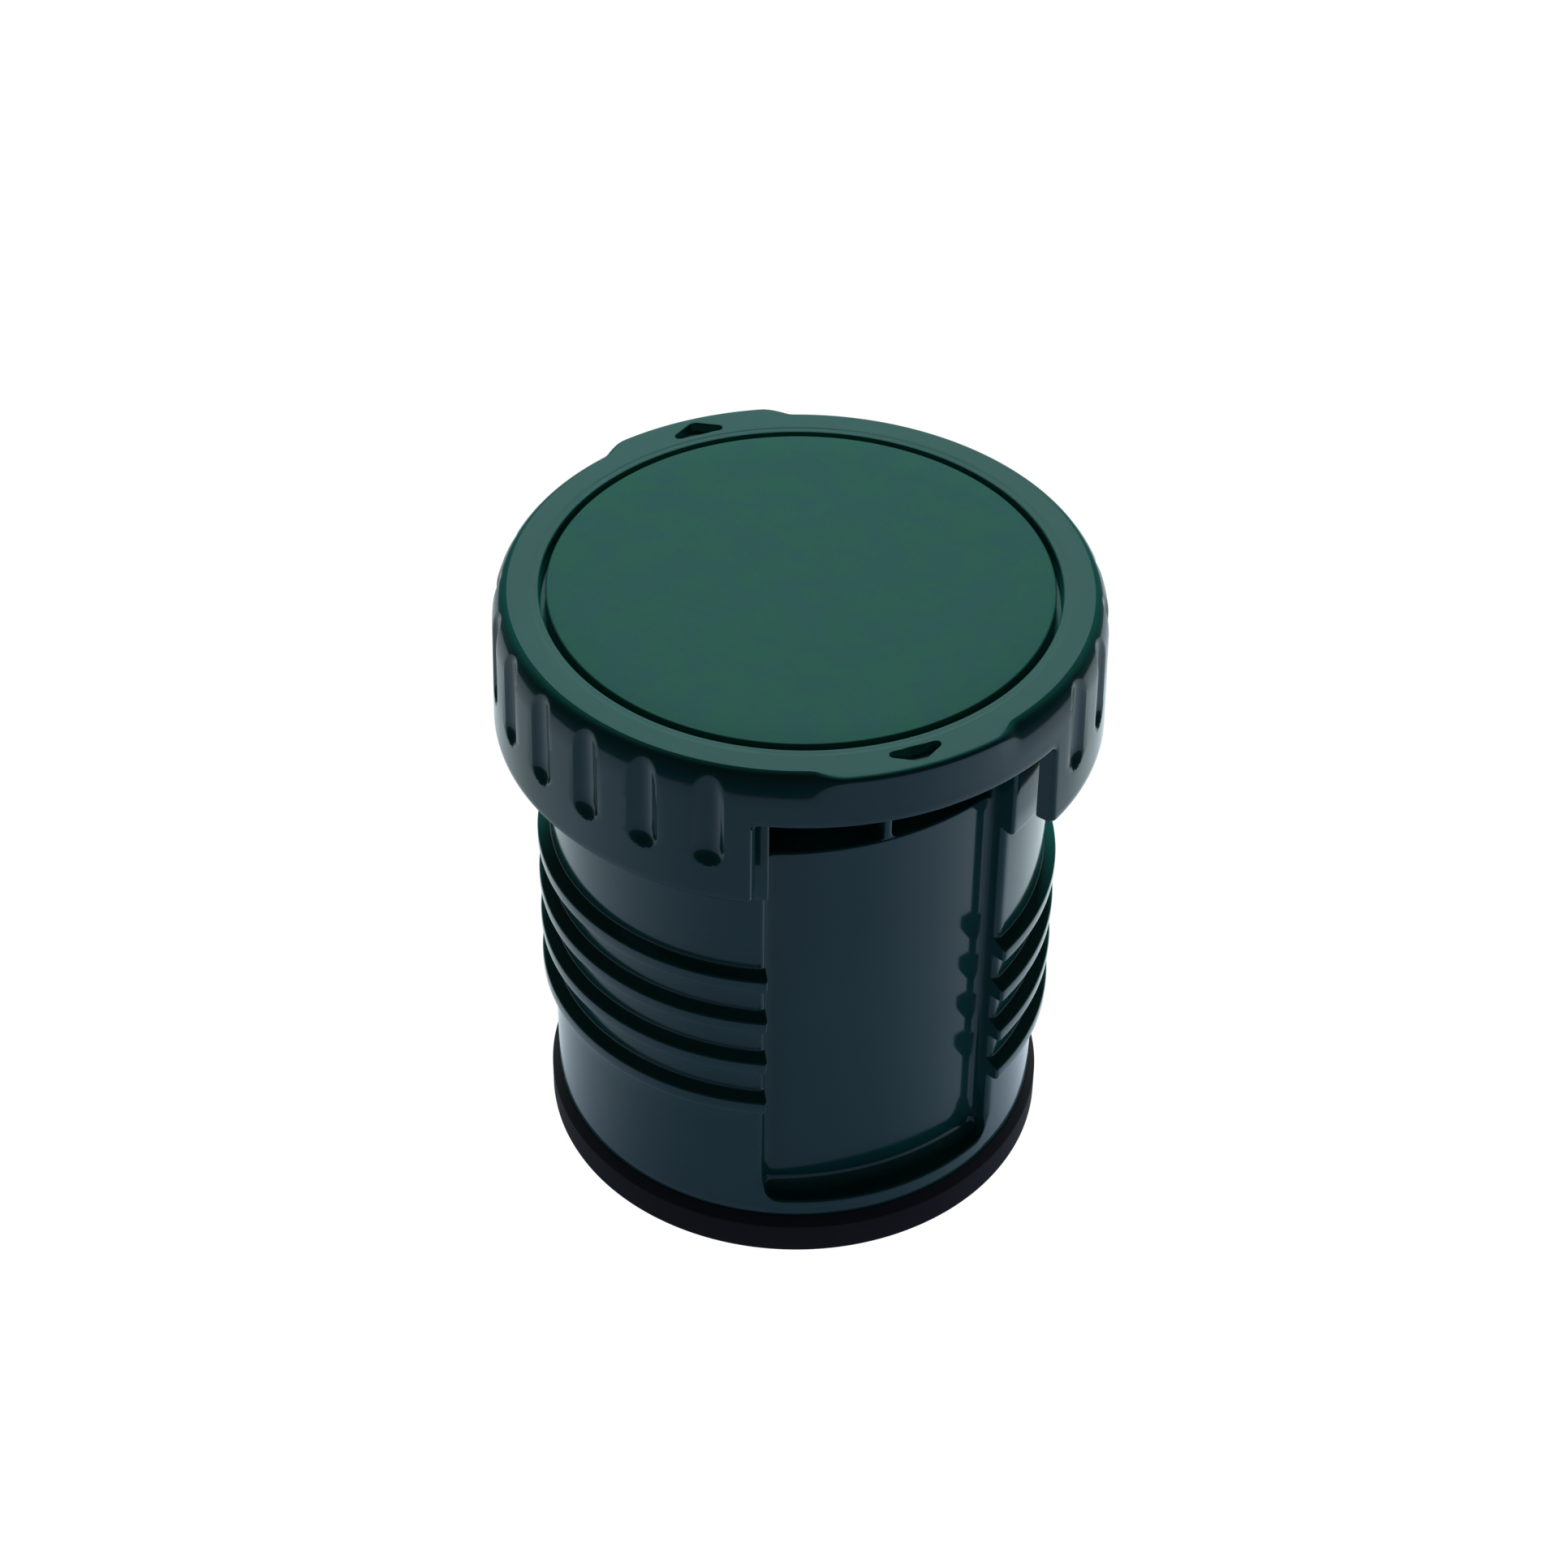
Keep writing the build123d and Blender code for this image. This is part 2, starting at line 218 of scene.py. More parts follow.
def ring_points(radius, turn, height):
    """Points at a radius, an angle round the axis from -Y, and a height."""
    radius, turn, height = np.broadcast_arrays(radius, turn, height)
    return np.stack([radius * np.sin(turn), -radius * np.cos(turn), height], -1)


def on_circle(radius, turn):
    """Plan points at a radius and an angle from -Y."""
    return radius[..., None] * np.stack([np.sin(turn), -np.cos(turn)], -1)


def rounded(points, radii, steps=4):
    """A line of 2-D points with each corner replaced by an arc that touches both of its runs.

    The arc starts r / tan(half the corner's angle) before the corner and its centre lies on the bisector.
    """
    points = np.asarray(points, float)
    line = [points[:1]]
    for before, corner, after, radius in zip(points[:-2], points[1:-1], points[2:], radii):
        if radius <= 0:
            line.append(corner[None])
            continue
        a, b = before - corner, after - corner
        a, b = a / np.hypot(*a), b / np.hypot(*b)
        half = math.acos(np.clip(a @ b, -1, 1)) / 2
        middle = (a + b) / np.hypot(*(a + b))
        centre = corner + middle * radius / math.sin(half)
        start = corner + a * radius / math.tan(half) - centre
        end = corner + b * radius / math.tan(half) - centre
        sweep = math.atan2(start[0] * end[1] - start[1] * end[0], start @ end)
        turn = np.linspace(0, sweep, steps + 1)
        cos, sin = np.cos(turn), np.sin(turn)
        line.append(centre + np.stack([start[0] * cos - start[1] * sin, start[0] * sin + start[1] * cos], -1))
    line.append(points[-1:])
    return np.concatenate(line)


def smooth(value):
    """A soft step from 0 to 1: 3t^2 - 2t^3."""
    value = np.clip(value, 0, 1)
    return value * value * (3 - 2 * value)


def drop(distance, radius):
    """How far a surface falls away at this distance from an edge that is rounded to a quarter circle."""
    inside = np.clip(radius - distance, 0, radius)
    return radius - np.sqrt(np.maximum(radius * radius - inside * inside, 0))


def make_mesh(name, grids):
    """One closed mesh from grids of points, each shaped (rows, columns, 3).

    Points of neighbouring grids that fall together become one, and a face that has lost corners becomes a
    triangle or goes.
    """
    points, quads, base = [], [], 0
    for grid in grids:
        rows, columns = grid.shape[:2]
        index = base + np.arange(rows * columns).reshape(rows, columns)
        quads.append(np.stack([index[:-1, :-1], index[:-1, 1:], index[1:, 1:], index[1:, :-1]], -1).reshape(-1, 4))
        points.append(grid.reshape(-1, 3))
        base += rows * columns
    points, quads = np.concatenate(points), np.concatenate(quads)
    key = np.floor(points / WELD + 0.3137).astype(np.int64)
    _, first, joined = np.unique(key, axis=0, return_index=True, return_inverse=True)
    points, quads = points[first], joined.reshape(-1)[quads]
    same = quads == np.roll(quads, -1, axis=1)
    crossed = (quads[:, 0] == quads[:, 2]) | (quads[:, 1] == quads[:, 3])
    whole = quads[(same.sum(1) == 0) & ~crossed].tolist()
    for corner in range(4):
        keep = [k for k in range(4) if k != corner]
        whole += quads[(same.sum(1) == 1) & same[:, corner] & ~crossed][:, keep].tolist()
    mesh = bpy.data.meshes.new(name)
    mesh.from_pydata(points, [], whole)
    work = bmesh.new()
    work.from_mesh(mesh)
    loose = [v for v in work.verts if not v.link_faces]
    bmesh.ops.delete(work, geom=loose, context="VERTS")
    bmesh.ops.remove_doubles(work, verts=work.verts, dist=WELD * 2)
    bmesh.ops.recalc_face_normals(work, faces=work.faces)
    work.to_mesh(mesh)
    work.free()
    return mesh


def add_piece(name, grids, finish, node, sharp=40):
    """Puts a mesh in the scene in place of a CAD node, smooth except along edges sharper than this angle."""
    mesh = make_mesh(name, grids)
    mesh.shade_smooth()
    mesh.set_sharp_from_angle(angle=math.radians(sharp))
    mesh.materials.append(finish_of(finish))
    piece = bpy.data.objects.new(name, mesh)
    bpy.context.scene.collection.objects.link(piece)
    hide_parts(node)
    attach(piece, "root")


def revolve(profile):
    """A profile of (radius, height) points carried round the axis."""
    return ring_points(profile[:, :1], np.linspace(0, 2 * np.pi, ROUND_STEPS), profile[:, 1:])


# Body

class BodyPlan:
    """The plan of the body at a stack of levels, as one closed line of columns.

    Each half of the line runs over a bank and the channel after it: in along the pour gap's side, out along the
    channel's side wall, round the edge, along the bank's arc, and back in the same way mirrored, then across
    the channel. The side walls lie in a plane through the bank's corner that leans by the flare.
    """

    wall_steps = 9
    edge_steps = 5
    arc_steps = 112
    across_steps = 48

    def __init__(self, sizes, inlet):
        self.s = sizes
        self.out = np.array([math.sin(sizes.flare), -math.cos(sizes.flare)])
        self.into = np.array([math.cos(sizes.flare), math.sin(sizes.flare)])
        self.corner = sizes.radius * np.array([math.sin(sizes.corner_angle), -math.cos(sizes.corner_angle)])
        self.back_centre = np.array([0.0, sizes.back_radius - (sizes.radius - sizes.channel_depth)])
        self.along = np.linspace(0, 1, self.wall_steps)
        self.across = np.sin(np.linspace(-1, 1, self.across_steps + 1) * CROWD) / math.sin(CROWD)
        self.inlet = inlet

    def meets(self, start, centre, radius):
        """Where lines from each start along the side wall meet a circle: the outer root of the quadratic."""
        offset = start - centre
        half = offset @ self.out
        rest = (offset**2).sum(-1) - radius**2
        return start + (-half + np.sqrt(half**2 - rest))[:, None] * self.out

    def to_walls(self, plan):
        """How far points of a channel are from its side walls' planes and from its back wall's circle."""
        to_side = self.corner @ self.into - (np.abs(plan[..., 0]) * self.into[0] + plan[..., 1] * self.into[1])
        to_back = np.hypot(plan[..., 0], plan[..., 1] - self.back_centre[1]) - self.s.back_radius
        return to_side, to_back

    def coved(self, plan, wall):
        """Moves the points near an upright inner corner out to an arc that touches both walls.

        Near the corner a point is less than the arc's radius from both walls; it goes out along the line to the
        arc's centre until it is that radius away. Inside walls keep their plain corner.
        """
        radius = self.s.corner_cove
        to_side, to_back = self.to_walls(plan)
        short = np.stack([radius - to_side, radius - to_back], -1)
        reach = np.linalg.norm(short, axis=-1)
        near = (short.min(-1) > 0) & (reach > radius) & (wall == 0)[:, None]
        push = np.where(near, 1 - radius / np.maximum(reach, 1e-9), 0)
        away = np.sign(plan[..., 0] + 1e-12)
        side_way = np.stack([-away * self.into[0], np.full_like(away, -self.into[1])], -1)
        back_way = plan - self.back_centre
        back_way = back_way / np.linalg.norm(back_way, axis=-1, keepdims=True)
        return plan + push[..., None] * (short[..., :1] * side_way + short[..., 1:] * back_way)

    def rows(self, radius, edge, wall, reach, depth, outer_drop):
        """Plan points of every level, shaped (levels, columns, 2), and the angle of each column's thread."""
        start = self.corner + wall[:, None] * self.into
        centre = self.meets(start + edge[:, None] * self.into, np.zeros(2), radius - edge)
        foot = centre - edge[:, None] * self.into
        back_radius, gap_radius = self.s.back_radius - wall, self.s.gap_radius - wall
        wall_end = self.meets(start, self.back_centre, back_radius)
        gap = self.meets(start, np.zeros(2), gap_radius)
        rear = on_circle(back_radius[:, None], np.arcsin(wall_end[:, 0] / back_radius)[:, None] * self.across)
        rear = self.coved(rear + self.back_centre, wall)
        deep = on_circle(gap_radius[:, None], np.arcsin(gap[:, 0] / gap_radius)[:, None] * self.across)
        back = self.coved(wall_end[:, None], wall)[:, 0]

        def between(a, b, t):
            return a[:, None] + (b - a)[:, None] * t[..., None]

        def along_wall(share):
            return self.coved(between(foot, wall_end, share), wall)

        side = along_wall(np.minimum(self.along, reach[:, None]))
        inlet = between(back, gap, np.minimum(self.inlet, depth[:, None]))
        at_reach = along_wall(np.repeat(reach[:, None], len(self.inlet), 1))
        inlet = np.where((reach < 1)[:, None, None], at_reach, inlet)

        first = math.atan2(-self.into[1], -self.into[0])
        last = np.arctan2(centre[:, 1], centre[:, 0])
        turn = first + (np.mod(last - first, 2 * np.pi))[:, None] * np.linspace(0, 1, self.edge_steps + 1)
        rounding = centre[:, None] + edge[:, None, None] * np.stack([np.cos(turn), np.sin(turn)], -1)

        begin = np.arctan2(centre[:, 0], -centre[:, 1])
        sweep = begin[:, None] + (np.pi - 2 * begin)[:, None] * np.linspace(0, 1, self.arc_steps + 1)
        arc = on_circle(radius[:, None], sweep)

        lip = on_circle(radius[:, None] - outer_drop, np.arctan2(foot[:, 0], -foot[:, 1])[:, None] * self.across)
        r, d = reach[:, None, None], depth[:, None, None]
        channel = np.where(r < 1, lip + (rear - lip) * r, rear + (deep - rear) * d)
        partial = reach < 1
        channel[partial, -1] = at_reach[partial, 0]
        channel[partial, 0] = at_reach[partial, 0] * np.array([-1, 1])

        mirror = np.array([1, -1])
        near = np.concatenate([inlet[:, ::-1], side[:, ::-1], rounding], 1)
        half = np.concatenate([near, arc, near[:, ::-1] * mirror, channel[:, ::-1] * mirror], 1)
        begin_columns = np.repeat(begin[:, None], near.shape[1], 1)
        turns = np.concatenate([begin_columns, sweep, np.pi - begin_columns], 1)
        return half, turns, channel.shape[1]


def body_levels(s):
    """The levels of the body from its underside up, over the top and down inside, as columns of numbers.

    Each is (radius, edge rounding, wall, reach, depth, height, lift, part). Reach goes from the channel's lip to
    its back wall, depth from there to the back of the pour gap, and lift says how far a level follows the thread.
    """
    bottom, top = BODY_LOW.z, BODY_HIGH.z
    floor_top = bottom + s.floor_wall
    cove_top = floor_top + s.cove
    ledge = top - s.gap_height
    collar = top - s.collar_height
    stand = s.thread_depth
    collar_stand = BODY_HIGH.x - s.radius
    levels = []

    def add(radius, edge, wall, reach, depth, height, lift, part):
        levels.append((radius, edge, wall, reach, depth, height, lift, part))

    ring = rounded([(s.radius - 1 * MM, bottom), (s.radius, bottom), (s.radius, cove_top)], [0.2 * MM], 3)
    for radius, height in ring[1:-1]:
        add(radius, 0, 0, 0, 0, height, 0, "ring")
    for share in (0.25, 0.5, 0.75):
        add(s.radius, 0, 0, 0, 0, ring[-2][1] + (cove_top - ring[-2][1]) * share, 0, "ring")
    for turn in np.linspace(0, np.pi / 2, 5):
        add(s.radius, 0, 0, 0, 0, turn, 0, "lip")
    for reach in (0.5 - 0.5 * np.cos(np.linspace(0, np.pi, 18)))[1:]:
        add(s.radius, 0, 0, min(reach, 1), 0, cove_top, 0, "floor")

    line, radii = [(cove_top, 0)], []
    for step in range(4):
        middle = s.thread_start + step * s.thread_pitch
        line += [(middle - s.thread_root / 2, 0), (middle - s.thread_crest / 2, stand)]
        line += [(middle + s.thread_crest / 2, stand), (middle + s.thread_root / 2, 0)]
        radii += [0.3 * MM, 0.36 * MM, 0.36 * MM, 0.3 * MM]
    line += [(collar, 0), (collar, collar_stand), (ledge - 0.4 * MM, collar_stand)]
    radii += [0.25 * MM, 0.35 * MM]
    line = rounded(line, radii, 4)
    extra = [(h, 0) for h in cove_top + np.array([0.25, 0.6, 1.1, 2.2, 3.6, 5.0]) * MM]
    last_root = s.thread_start + 3 * s.thread_pitch + s.thread_root / 2 + 0.6 * MM
    extra += [(h, 0) for h in np.linspace(last_root, collar - 1 * MM, 6)]
    line = [tuple(p) for p in line]
    index_high = max(i for i, p in enumerate(line) if p[0] < last_root)
    line = line[:1] + extra[:6] + line[1:index_high + 1] + extra[6:] + line[index_high + 1:]
    first_root = s.thread_start - s.thread_root / 2 - 0.4 * MM
    for height, proud in line[1:]:
        lift = np.interp(height, [cove_top + 1 * MM, first_root, last_root, collar - 0.5 * MM], [0, 1, 1, 0])
        edge = np.interp(height, [cove_top, cove_top + 1.1 * MM], [0, s.bank_edge])
        edge = edge + (s.end_edge - edge) * min(proud / stand, 1)
        add(s.radius + proud, edge, 0, 1, 0, height, lift, "wall")
    return levels, collar_stand, ledge, top, floor_top, bottom


def body_grids(s):
    """The body as one closed grid, and the two ribs in its pour gaps."""
    levels, collar_stand, ledge, top, floor_top, bottom = body_levels(s)
    run = 6.3 * MM
    lip_round = 0.3 * MM
    turns = np.linspace(0, np.pi / 2, 5)
    ledge_in = lip_round * (1 - np.cos(turns)) / run
    ledge_up = ledge - lip_round * (1 - np.sin(turns))
    inlet = np.concatenate([ledge_in, np.linspace(ledge_in[-1], 1, 7)[1:]])
    outer = s.radius + collar_stand
    for depth, height in zip(ledge_in, ledge_up):
        levels.append((outer, s.end_edge, 0, 1, depth, height, 0, "wall"))
    for depth in inlet[len(ledge_in):]:
        levels.append((outer, s.end_edge, 0, 1, depth, ledge, 0, "wall"))
    for height in np.linspace(ledge, top, 5)[1:]:
        levels.append((outer, s.end_edge, 0, 1, 1, height, 0, "wall"))
    inner = s.radius - s.wall
    for height in np.linspace(top, ledge - s.wall, 4):
        levels.append((inner, 0, s.wall, 1, 1, height, 0, "wall"))
    for depth in inlet[::-1][1:]:
        levels.append((inner, 0, s.wall, 1, depth, ledge - s.wall, 0, "wall"))
    for height in np.linspace(ledge - s.wall, floor_top, 4)[1:]:
        levels.append((inner, 0, s.wall, 1, 0, height, 0, "wall"))
    levels.append((inner, 0, s.wall, 1, 0, floor_top, 0, "hole"))
    levels.append((inner, 0, s.wall, 1, 0, bottom, 0, "hole"))
    levels.append(levels[0])

    part = np.array([row[7] for row in levels])
    radius, edge, wall, reach, depth, height, lift = (np.array([float(row[k]) for row in levels]) for k in range(7))
    plan = BodyPlan(s, inlet)
    cove_top = floor_top + s.cove

    side_room = plan.corner[0] * (1 - np.abs(plan.across))
    soft = 0.35 * MM * smooth(side_room / (1.6 * MM))
    is_lip, is_floor, is_ring = part == "lip", part == "floor", part == "ring"
    lip_turn = np.where(is_lip, height, 0)
    outer_drop = np.where(is_lip[:, None], soft * (1 - np.cos(lip_turn))[:, None], 0)
    outer_drop = np.where(is_floor[:, None], soft, outer_drop)
    half, thread_turn, count = plan.rows(radius, edge, wall, reach, depth, outer_drop)
    plain = np.where(is_lip, cove_top, height)

    channel = half[:, -count:] * np.array([1, -1])
    to_side, to_back = plan.to_walls(channel)
    short = np.stack([s.corner_cove - to_side, s.corner_cove - to_back], -1)
    to_corner = s.corner_cove - np.linalg.norm(np.maximum(short, 0), axis=-1)
    nearest = np.minimum(to_side, to_back)
    nearest = np.where(short.min(-1) > 0, np.minimum(to_corner, nearest), nearest)
    floor_z = floor_top + drop(np.maximum(nearest, 0), s.cove)
    lip_level = floor_top + drop(side_room * math.cos(s.flare), s.cove)[::-1]
    ring_z = bottom + (lip_level - bottom) * ((plain - bottom) / (cove_top - bottom))[:, None]
    lip_z = lip_level - soft[::-1] * (1 - np.sin(lip_turn))[:, None]

    pieces = []
    for turn in (0, 1):
        lead = s.thread_pitch * (thread_turn + turn * np.pi) / (2 * np.pi)
        bank_z = plain[:, None] + lift[:, None] * lead
        after = s.thread_pitch * (thread_turn[:, 0] + (1 - turn) * np.pi) / (2 * np.pi)
        share = np.linspace(0, 1, count)
        wall_z = bank_z[:, -1:] + (plain[:, None] + (lift * after)[:, None] - bank_z[:, -1:]) * share
        channel_z = np.where(is_floor[:, None], floor_z, wall_z)
        channel_z = np.where(is_ring[:, None], ring_z, channel_z)
        channel_z = np.where(is_lip[:, None], lip_z, channel_z)
        z = np.concatenate([bank_z, channel_z], 1)
        sign = 1 - 2 * turn
        pieces.append(np.concatenate([half * sign, z[..., None]], -1))
    grid = np.concatenate(pieces + [pieces[0][:, :1]], 1)
    hole = part == "hole"
    flat = grid[hole][..., :2]
    grid[hole, :, :2] = flat / np.linalg.norm(flat, axis=-1, keepdims=True) * s.hole_radius
    return [grid] + [rib_grid(s, sign, ledge, top) for sign in (-1, 1)]


def rib_grid(s, sign, ledge, top):
    """The upright rib in a pour gap: a rounded bar whose sides spread in a quarter circle at its foot."""
    front = s.radius - s.channel_depth - 0.1 * MM
    back = s.gap_radius - 0.6 * MM
    foot = 0.7 * MM
    turn = np.linspace(0, 2 * np.pi, 33)
    square = np.stack([np.cos(turn), np.sin(turn)], -1)
    square = np.sign(square) * np.abs(square) ** 0.35
    height = np.concatenate([[ledge - 0.2 * MM], ledge + foot * (1 - np.cos(np.linspace(0, np.pi / 2, 6))),
                             [top - 0.05 * MM]])
    flare = drop(np.maximum(height - ledge, 0), foot)
    x = square[:, 0] * (s.rib_wall / 2 + flare[:, None])
    y = -(front + back) / 2 + square[:, 1] * (front - back) / 2
    grid = np.stack(np.broadcast_arrays(x, y[None, :], height[:, None]), -1)
    middle = np.broadcast_to(grid.mean(1, keepdims=True), grid.shape)
    grid = np.concatenate([middle[:1], grid, middle[-1:]])
    grid[..., 1] *= -sign
    grid[..., 0] *= -sign
    return grid


# Cap

def soft_excess(value, ease):
    """A value where it is positive and 0 where it is negative, eased by (v + e)^2 / 4e between -e and e."""
    eased = (value + ease) ** 2 / (4 * ease)
    return np.where(value > ease, value, np.where(value < -ease, 0, eased))


def flute_sink(s, radius, turn, height):
    """How far the flutes sink into a surface of this radius: upright round scoops with a round lower end.

    A scoop is a cylinder of radius R whose floor lies the flute's depth inside the shoulder; at the distance d from
    its middle it reaches sqrt(R^2 - d^2) - (R - depth) inside the shoulder.
    """
    scoop = (s.flute_width**2 / 4 + s.flute_depth**2) / (2 * s.flute_depth)
    middle_turn = (s.flute_count - 1) / 2 * s.flute_step
    from_side = np.mod(turn, np.pi) - np.pi / 2
    nearest = np.clip(np.round((from_side + middle_turn) / s.flute_step), 0, s.flute_count - 1)
    off = (from_side - (nearest * s.flute_step - middle_turn)) * s.shoulder_radius
    down = np.maximum(CAP_LOW.z + s.flute_foot + scoop - height, 0)
    away = np.minimum(np.hypot(off, down), scoop)
    reach = np.sqrt(scoop**2 - away**2) - (scoop - s.flute_depth)
    return soft_excess(radius - s.shoulder_radius + reach, 0.3 * MM)


def lobe_share(s, turn):
    """1 on a lobe, 0 away from it, and a soft step between."""
    off = np.abs(np.mod(turn + np.pi / 2, np.pi) - np.pi / 2)
    return np.clip(1 - smooth((off - s.lobe_angle) / s.lobe_blend) * 1.625, 0, 1)


def arrow_sink(s, points):
    """Depth of the arrows sunk in the rim: a soft step at the outline of a triangle with rounded corners."""
    tip = s.shoulder_radius - s.arrow_margin
    base, half = tip - s.arrow_length, s.arrow_width / 2
    outline = rounded([(0, base), (half, base), (0, tip), (-half, base), (0, base)],
                      [s.arrow_corner, s.arrow_point, s.arrow_corner], 6)
    place = np.stack([points[..., 0], np.abs(points[..., 1])], -1)
    nearest = np.full(place.shape[:-1], np.inf)
    outside = np.full(place.shape[:-1], -np.inf)
    for start, end in zip(outline[:-1], outline[1:]):
        run = end - start
        span = np.hypot(*run)
        if span < WELD:
            continue
        share = np.clip((place - start) @ run / span**2, 0, 1)
        nearest = np.minimum(nearest, np.linalg.norm(place - start - share[..., None] * run, axis=-1))
        outside = np.maximum(outside, (place - start) @ np.array([run[1], -run[0]]) / span)
    distance = np.where(outside > 0, nearest, -nearest)
    return s.arrow_sink * smooth(0.5 - distance / ARROW_EASE)


def cap_grids(s):
    """The cap as closed grids: two fluted sides, two notched fronts and the notches' four side faces."""
    low, top = CAP_LOW.z, CAP_HIGH.z
    deck, roof = DISC_LOW.z, BODY_HIGH.z
    shoulder = top - s.shoulder_height
    notch_top = low + s.notch_height
    meet = notch_top - s.notch_corner

    near_edge = s.edge * (1 - np.cos(np.linspace(0, np.pi / 2, 5))) / s.skirt_radius
    half_flutes = (s.flute_count - 1) / 2 * s.flute_step
    flutes = [np.pi / 2 - half_flutes + k * s.flute_step + np.linspace(-3.0, 3.0, 19) * np.pi / 180
              for k in range(s.flute_count)]
    plain = np.radians(np.arange(31, 150, 1.0))
    span = np.concatenate([s.notch_angle + near_edge, np.pi - s.notch_angle - near_edge, plain] + flutes)
    span = np.unique(np.round(span[(span >= s.notch_angle) & (span <= np.pi - s.notch_angle)], 5))
    span[0], span[-1] = s.notch_angle, np.pi - s.notch_angle
    arrow = np.radians(np.arange(-8.0, 8.01, 0.16))
    corner_turn = s.notch_corner * (1 - np.cos(np.linspace(0, np.pi / 2, 7))) / s.skirt_radius
    front = np.concatenate([np.radians(np.arange(-30, 31, 1.0)), arrow, -s.notch_angle + corner_turn,
                            s.notch_angle - corner_turn])
    front = np.unique(np.round(front, 5))
    front = front[(front > -s.notch_angle + 1e-4) & (front < s.notch_angle - 1e-4)]
    front = np.concatenate([[-s.notch_angle], front, [s.notch_angle]])

    across = np.linspace(0, 1, 9)
    up_low = np.concatenate([s.edge * (1 - np.cos(np.linspace(0, np.pi / 2, 5))), np.array([1.0, 2.0]) * MM])
    flute_low = s.flute_foot - 0.1 * MM
    fine = flute_low + np.array([0, .15, .3, .5, .7, .95, 1.2, 1.5, 1.9, 2.4, 3.2, 4.2]) * MM
    levels = np.unique(np.round(np.concatenate([up_low, fine, [meet - low]]), 8))
    share_up = np.array([0, 0.06, 0.14, 0.25, 0.5, 0.75, 1])

    def outside(turn, height):
        """Outer radius of the skirt below the shoulder: a cone, less the flutes."""
        lean = (height - low) / (shoulder - low)
        cone = s.skirt_radius + (s.shoulder_radius - s.skirt_radius) * lean
        return cone - flute_sink(s, cone, turn, height)

    def crown(turn):
        """The shoulder at these angles, as rows of radius and of height.

        Between the lobes it is a Hermite curve that starts upright and ends leaning inwards. On a lobe it is an
        upright wall with a rounded upper edge. The lobe's share mixes the two.
        """
        t = np.linspace(0, 1, CROWN_ROWS)[:, None]
        run, rise = s.shoulder_radius - s.rim_radius, s.shoulder_height
        h00, h10 = 2 * t**3 - 3 * t**2 + 1, t**3 - 2 * t**2 + t
        h01, h11 = -2 * t**3 + 3 * t**2, t**3 - t**2
        ends = 1.15 * rise
        round_r = h00 * s.shoulder_radius + h10 * (-0.02 * ends) + h01 * s.rim_radius + h11 * (-0.95 * ends * 0.8)
        round_z = h00 * shoulder + h10 * ends + h01 * top + h11 * (0.42 * ends * 0.8)
        lobe = rounded([(s.shoulder_radius, shoulder), (s.shoulder_radius, top), (s.rim_radius - 1 * MM, top)],
                       [0.55 * MM], 8)[:-1]
        straight = np.linspace(shoulder, lobe[1][1], CROWN_ROWS - len(lobe) + 2)[:-1]
        lobe = np.concatenate([np.stack([np.full_like(straight, s.shoulder_radius), straight], -1), lobe[1:]])
        w = lobe_share(s, turn)[None, :]
        r = round_r * (1 - w) + lobe[:, :1] * w
        z = round_z * (1 - w) + lobe[:, 1:] * w
        return r - flute_sink(s, r, turn[None, :], shoulder), z

    def upper(turn, rows):
        """The shoulder, the rim with its arrows, the pocket and the deck, down to the axis."""
        r, z = crown(turn)
        end = r[-1:]
        land = top - LAND_STEP
        soft = rounded([(s.pocket_radius + 0.6 * MM, land), (s.pocket_radius, land), (s.pocket_radius, deck),
                        (s.pocket_radius - 2 * MM, deck)], [0.22 * MM, 0.2 * MM], 4)[1:-1]
        inner_edge = soft[0, 0]
        steps = np.concatenate([np.linspace(0, 0.12, 3)[1:], np.linspace(0.12, 0.92, rows)[1:], [1.0]])
        flat_r = end + (inner_edge - end) * steps[:, None]
        flat = ring_points(flat_r, turn[None, :], top)
        flat[..., 2] -= arrow_sink(s, flat) + LAND_STEP * smooth((s.land_radius - flat_r) / (0.25 * MM))
        pocket = ring_points(soft[1:, :1], turn[None, :], soft[1:, 1:])
        deck_r = np.array([0.75, 0.4, 0.0])[:, None] * s.pocket_radius
        floor = ring_points(deck_r, turn[None, :], deck)
        return [ring_points(r, turn[None, :], z), flat, pocket, floor]

    grids, side_faces = [], []
    for half in (0, 1):
        turn = span + half * np.pi
        to_edge = np.minimum(span - s.notch_angle, np.pi - s.notch_angle - span) * s.skirt_radius
        fall_side = drop(to_edge, s.edge)
        z = (low + levels)[:, None]
        fall = s.edge - np.sqrt(np.maximum(s.edge**2 - np.clip(s.edge - to_edge, 0, s.edge) ** 2
                                           - np.clip(s.edge - levels[:, None], 0, s.edge) ** 2, 0))
        skin = ring_points(outside(turn, z) - fall, turn[None, :], z)
        lining = ring_points(s.skirt_inner + drop(levels[:, None], 0.25 * MM) * 0.8, turn[None, :], z)[::-1]
        foot = lining[-1][None] + (skin[0] - lining[-1])[None] * across[1:-1, None, None]
        above = meet + (shoulder - meet) * share_up[1:, None]
        fall_above = np.broadcast_to(fall_side, (len(share_up) - 1, len(turn)))
        skin_above = ring_points(outside(turn, above) - fall_above * (1 - smooth((above - meet) / (1.2 * MM))),
                                 turn[None, :], above)
        ceiling = ring_points(np.array([[0.0], [0.4], [0.8]]) * s.skirt_inner, turn[None, :], roof)
        lining_above = ring_points(s.skirt_inner, turn[None, :], roof + (meet - roof) * (1 - share_up[::-1, None]))
        grids.append(np.concatenate([ceiling, lining_above, lining[1:], foot, skin, skin_above] + upper(turn, 16)))
        for column in (0, -1):
            inner, outer = lining[:, column][::-1], skin[:, column]
